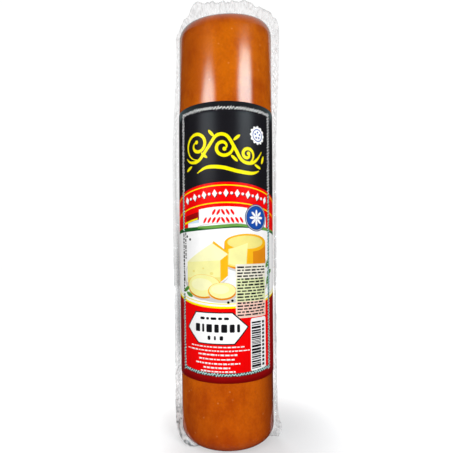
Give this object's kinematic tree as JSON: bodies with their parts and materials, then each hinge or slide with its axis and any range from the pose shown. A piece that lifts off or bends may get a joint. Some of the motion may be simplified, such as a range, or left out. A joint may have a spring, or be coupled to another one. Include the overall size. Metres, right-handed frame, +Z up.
{
  "type": "smoked provolone cheese log in a clear vacuum pouch",
  "caption": "Upright log of smoked provolone with an orange-brown rind and a printed wrap label, in a clear vacuum pouch with crinkled side fins and a gathered tail.",
  "frame": {"origin": "centre of the log's flat foot, on the surface it stands on", "axes": "+Z up along the log, -Y towards the label's front, +X to the right as the label is read"},
  "size_m": [0.1192, 0.1035, 0.4742],
  "materials": {
    "rind": "glossy smoked rind under clear film",
    "label_print": "glossy printed label",
    "clear_film": "clear glossy crinkled film"
  },
  "bodies": {
    "root": {"cheese_log": "rind", "label": "label_print", "vacuum_pouch_rim": "clear_film"}
  },
  "joints": []
}
